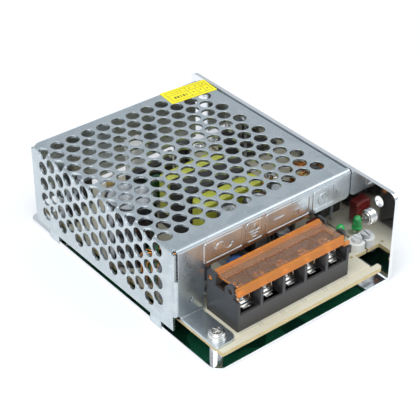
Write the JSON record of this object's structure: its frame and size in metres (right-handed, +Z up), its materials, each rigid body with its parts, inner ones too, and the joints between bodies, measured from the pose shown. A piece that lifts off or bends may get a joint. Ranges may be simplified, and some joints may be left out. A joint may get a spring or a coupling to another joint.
{
  "type": "mesh case switching power supply",
  "caption": "Open-frame mains power supply: folded base and side wall, perforated mesh cover, circuit board, screw terminal block under a hinged clear lid.",
  "frame": {"origin": "middle of the bottom face, halfway along the length and the width of the base plate", "axes": "+X towards the side wall, -Y towards the screw terminals, +Z up through the mesh cover"},
  "size_m": [0.078, 0.11, 0.0361],
  "materials": {
    "mirror_aluminium": "polished",
    "galvanised_steel": "satin",
    "plated_steel": "polished",
    "board": "matte",
    "black_plastic": "satin",
    "orange_clear": "gloss",
    "green_clear": "gloss",
    "white_plastic": "satin",
    "yellow_label": "semi-gloss",
    "ferrite": "matte",
    "yellow_tape": "satin",
    "green_ring": "matte",
    "pale_ring": "matte",
    "enamelled_copper": "gloss",
    "grey_box": "satin",
    "blue_lacquer": "gloss",
    "red_lacquer": "gloss",
    "green_lacquer": "satin",
    "capacitor_sleeve": "gloss",
    "tinned_copper": "polished",
    "fuse_glass": "gloss",
    "ceramic": "matte",
    "tan_lacquer": "satin",
    "silicone_pad": "matte"
  },
  "bodies": {
    "case": {"chassis": "mirror_aluminium", "cover": "galvanised_steel", "cover_screw": "plated_steel", "cover_washer": "plated_steel", "standoffs": "plated_steel", "board_screws": "plated_steel", "circuit_board": "board", "terminal_block": "black_plastic", "terminal_plates": "plated_steel", "indicator_lamp": "green_clear", "lamp_leads": "tinned_copper", "trimmer_body": "white_plastic", "wall_screw": "plated_steel", "rating_label": "yellow_label", "transformer_core": "ferrite", "transformer_bobbin": "black_plastic", "transformer_winding": "yellow_tape", "line_choke_core": "green_ring", "line_choke_winding": "enamelled_copper", "x_capacitor": "grey_box", "disc_capacitor": "blue_lacquer", "film_capacitor": "red_lacquer", "bulk_capacitor": "capacitor_sleeve", "output_capacitors": "capacitor_sleeve", "small_capacitors": "capacitor_sleeve", "output_choke_core": "pale_ring", "output_choke_winding": "enamelled_copper", "bridge_rectifier": "black_plastic", "fuse": "fuse_glass", "fuse_clips": "tinned_copper", "thermistor": "green_lacquer", "switching_transistor": "black_plastic", "output_rectifier": "black_plastic", "insulating_pads": "silicone_pad", "transistor_screws": "plated_steel", "controller_chip": "black_plastic", "optocoupler": "white_plastic", "ceramic_resistor": "ceramic", "power_resistors": "tan_lacquer"},
    "lid": {"terminal_lid": "orange_clear"},
    "trimmer_rotor": {"trimmer_rotor": "white_plastic"},
    "clamp_1": {"clamp_1": "plated_steel"},
    "terminal_screw_1": {"terminal_screw_1": "plated_steel"},
    "clamp_2": {"clamp_2": "plated_steel"},
    "terminal_screw_2": {"terminal_screw_2": "plated_steel"},
    "clamp_3": {"clamp_3": "plated_steel"},
    "terminal_screw_3": {"terminal_screw_3": "plated_steel"},
    "clamp_4": {"clamp_4": "plated_steel"},
    "terminal_screw_4": {"terminal_screw_4": "plated_steel"},
    "clamp_5": {"clamp_5": "plated_steel"},
    "terminal_screw_5": {"terminal_screw_5": "plated_steel"}
  },
  "joints": [
    {"name": "lid_hinge", "type": "hinge", "parent": "case", "child": "lid", "pos_m": [-0.0024, -0.0361, 0.0217], "axis": [-1, 0, 0], "range_deg": [0, 80]},
    {"name": "trimmer_turn", "type": "hinge", "parent": "case", "child": "trimmer_rotor", "pos_m": [0.0352, -0.041, 0.0105], "axis": [0, 0, 1], "range_deg": [-130, 130]},
    {"name": "clamp_1_lift", "type": "slide", "parent": "case", "child": "clamp_1", "axis": [0, 0, 1], "range_m": [0, 0.0022]},
    {"name": "terminal_screw_1_turn", "type": "hinge", "parent": "clamp_1", "child": "terminal_screw_1", "pos_m": [-0.02115, -0.0436, 0.0165], "axis": [0, 0, 1], "range_deg": [0, 1320]},
    {"name": "clamp_2_lift", "type": "slide", "parent": "case", "child": "clamp_2", "axis": [0, 0, 1], "range_m": [0, 0.0022]},
    {"name": "terminal_screw_2_turn", "type": "hinge", "parent": "clamp_2", "child": "terminal_screw_2", "pos_m": [-0.01165, -0.0436, 0.0165], "axis": [0, 0, 1], "range_deg": [0, 1320]},
    {"name": "clamp_3_lift", "type": "slide", "parent": "case", "child": "clamp_3", "axis": [0, 0, 1], "range_m": [0, 0.0022]},
    {"name": "terminal_screw_3_turn", "type": "hinge", "parent": "clamp_3", "child": "terminal_screw_3", "pos_m": [-0.00215, -0.0436, 0.0165], "axis": [0, 0, 1], "range_deg": [0, 1320]},
    {"name": "clamp_4_lift", "type": "slide", "parent": "case", "child": "clamp_4", "axis": [0, 0, 1], "range_m": [0, 0.0022]},
    {"name": "terminal_screw_4_turn", "type": "hinge", "parent": "clamp_4", "child": "terminal_screw_4", "pos_m": [0.00735, -0.0436, 0.0165], "axis": [0, 0, 1], "range_deg": [0, 1320]},
    {"name": "clamp_5_lift", "type": "slide", "parent": "case", "child": "clamp_5", "axis": [0, 0, 1], "range_m": [0, 0.0022]},
    {"name": "terminal_screw_5_turn", "type": "hinge", "parent": "clamp_5", "child": "terminal_screw_5", "pos_m": [0.01685, -0.0436, 0.0165], "axis": [0, 0, 1], "range_deg": [0, 1320]}
  ],
  "couplings": [
    {"joint": "terminal_screw_1_turn", "follows": "clamp_1_lift", "rad_per_m": 10472},
    {"joint": "terminal_screw_2_turn", "follows": "clamp_2_lift", "rad_per_m": 10472},
    {"joint": "terminal_screw_3_turn", "follows": "clamp_3_lift", "rad_per_m": 10472},
    {"joint": "terminal_screw_4_turn", "follows": "clamp_4_lift", "rad_per_m": 10472},
    {"joint": "terminal_screw_5_turn", "follows": "clamp_5_lift", "rad_per_m": 10472}
  ]
}
